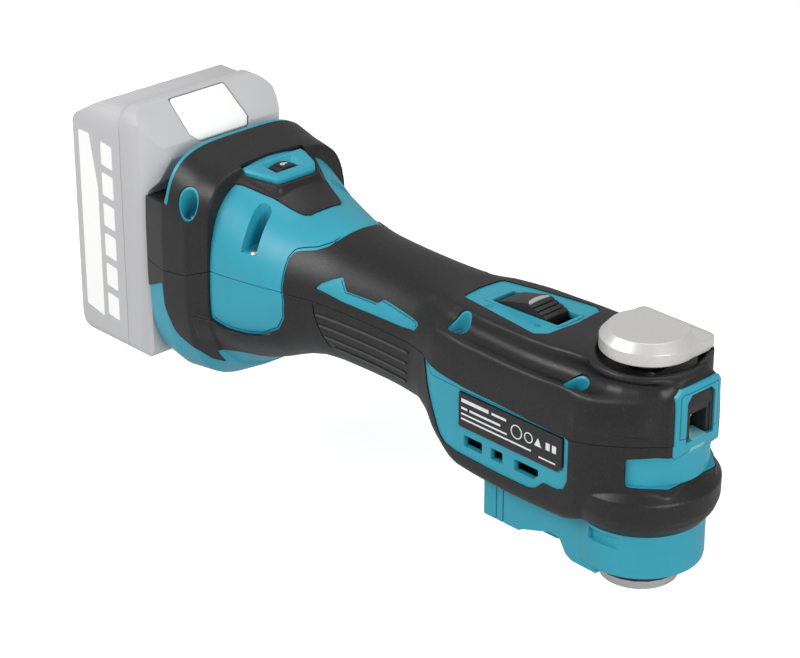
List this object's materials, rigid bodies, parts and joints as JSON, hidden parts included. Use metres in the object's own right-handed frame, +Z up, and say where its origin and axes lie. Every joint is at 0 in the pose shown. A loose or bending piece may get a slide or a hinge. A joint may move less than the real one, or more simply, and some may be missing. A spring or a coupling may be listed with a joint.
{
  "type": "oscillating multi-tool",
  "caption": "Cordless oscillating multi-tool with slide-on pack, slim grip, slide switch, quick-clamp lever, front lamp and vertical spindle.",
  "frame": {"origin": "centre of the accessory seat: spindle axis at the underside of the holder bolt's head", "axes": "+X towards the front of the head, +Y to the tool's left (lever hinge side), +Z up along the spindle"},
  "size_m": [0.3255, 0.0804, 0.1254],
  "materials": {
    "teal_plastic": "fine-textured teal nylon",
    "black_rubber": "soft black overmould",
    "black_plastic": "matt black",
    "grey_plastic": "light grey moulding",
    "white_plastic": "white",
    "clear_lens": "clear",
    "steel": "turned and ground",
    "aluminium": "fine satin",
    "cast_aluminium": "as cast",
    "brass": "turned",
    "windings": "enamelled copper on laminations",
    "cell_wrap": "green sleeve"
  },
  "bodies": {
    "housing": {"housing_lower": "teal_plastic", "housing_upper": "teal_plastic", "grip_upper": "black_rubber", "grip_rear": "black_rubber", "grip_lower": "black_rubber", "lamp_bezel": "teal_plastic", "led_holder": "black_plastic", "led_lens": "clear_lens", "nameplate_right": "black_plastic", "housing_screw_1": "steel", "housing_screw_2": "steel", "housing_screw_3": "steel", "housing_screw_4": "steel", "housing_screw_5": "steel", "housing_screw_6": "steel", "housing_screw_7": "steel", "housing_screw_8": "steel", "dust_seal": "black_rubber", "gear_housing": "cast_aluminium", "damper_left": "black_rubber", "damper_right": "black_rubber", "spindle_bearing_upper": "steel", "spindle_bearing_lower": "steel", "stator": "windings", "motor_bearing_rear": "steel", "motor_bearing_front": "steel", "lever_pin": "steel", "microswitch": "black_plastic", "controller": "black_plastic", "terminal_block": "black_plastic"},
    "spindle": {"spindle": "steel", "swing_fork": "steel", "clamp_spring": "steel"},
    "clamp_shaft": {"clamp_shaft": "steel", "clamp_jaw_a": "steel", "clamp_jaw_b": "steel"},
    "holder_bolt": {"holder_bolt": "steel"},
    "clamp_lever": {"clamp_lever": "aluminium"},
    "motor": {"rotor": "steel", "motor_shaft": "steel", "cooling_fan": "black_plastic", "counterweight": "brass", "eccentric_bearing": "steel"},
    "power_slider": {"power_slider": "black_plastic", "slider_rod": "black_plastic"},
    "speed_dial": {"speed_dial": "black_plastic"},
    "battery": {"battery_case": "grey_plastic", "battery_cover": "grey_plastic", "cell_1": "cell_wrap", "cell_2": "cell_wrap", "cell_3": "cell_wrap", "cell_4": "cell_wrap", "cell_5": "cell_wrap", "cell_6": "cell_wrap", "cell_7": "cell_wrap", "cell_8": "cell_wrap", "cell_9": "cell_wrap", "cell_10": "cell_wrap"},
    "battery_button": {"battery_button": "white_plastic"},
    "battery_latch": {"battery_latch": "grey_plastic"}
  },
  "joints": [
    {"name": "spindle_swing", "type": "hinge", "parent": "housing", "child": "spindle", "pos_m": [0, 0, 0], "axis": [0, 0, 1], "range_deg": [-1.8, 1.8]},
    {"name": "clamp_release", "type": "slide", "parent": "spindle", "child": "clamp_shaft", "axis": [0, 0, -1], "range_m": [0, 0.0031], "deforming": ["clamp_spring"]},
    {"name": "bolt_removal", "type": "slide", "parent": "spindle", "child": "holder_bolt", "axis": [0, 0, -1], "range_m": [0, 0.045]},
    {"name": "lever_hinge", "type": "hinge", "parent": "housing", "child": "clamp_lever", "pos_m": [0, 0.0146, 0.0936], "axis": [-1, 0, 0], "range_deg": [0, 110]},
    {"name": "motor_spin", "type": "hinge", "parent": "housing", "child": "motor", "pos_m": [-0.05, 0, 0.06], "axis": [1, 0, 0], "continuous": true},
    {"name": "switch_slide", "type": "slide", "parent": "housing", "child": "power_slider", "axis": [1, 0, 0], "range_m": [0, 0.0055]},
    {"name": "dial_turn", "type": "hinge", "parent": "housing", "child": "speed_dial", "pos_m": [-0.1973, 0, 0.0966], "axis": [1, 0, 0], "range_deg": [0, 250]},
    {"name": "pack_removal", "type": "slide", "parent": "housing", "child": "battery", "axis": [0, 0, 1], "range_m": [0, 0.12]},
    {"name": "button_press", "type": "slide", "parent": "battery", "child": "battery_button", "axis": [-0.6, 0, -0.8], "range_m": [0, 0.003]},
    {"name": "latch_retract", "type": "slide", "parent": "battery", "child": "battery_latch", "axis": [-1, 0, 0], "range_m": [0, 0.003]}
  ],
  "couplings": [
    {"joint": "clamp_release", "follows": "lever_hinge", "m_per_rad": 0.00156},
    {"joint": "latch_retract", "follows": "button_press", "ratio": 1}
  ]
}
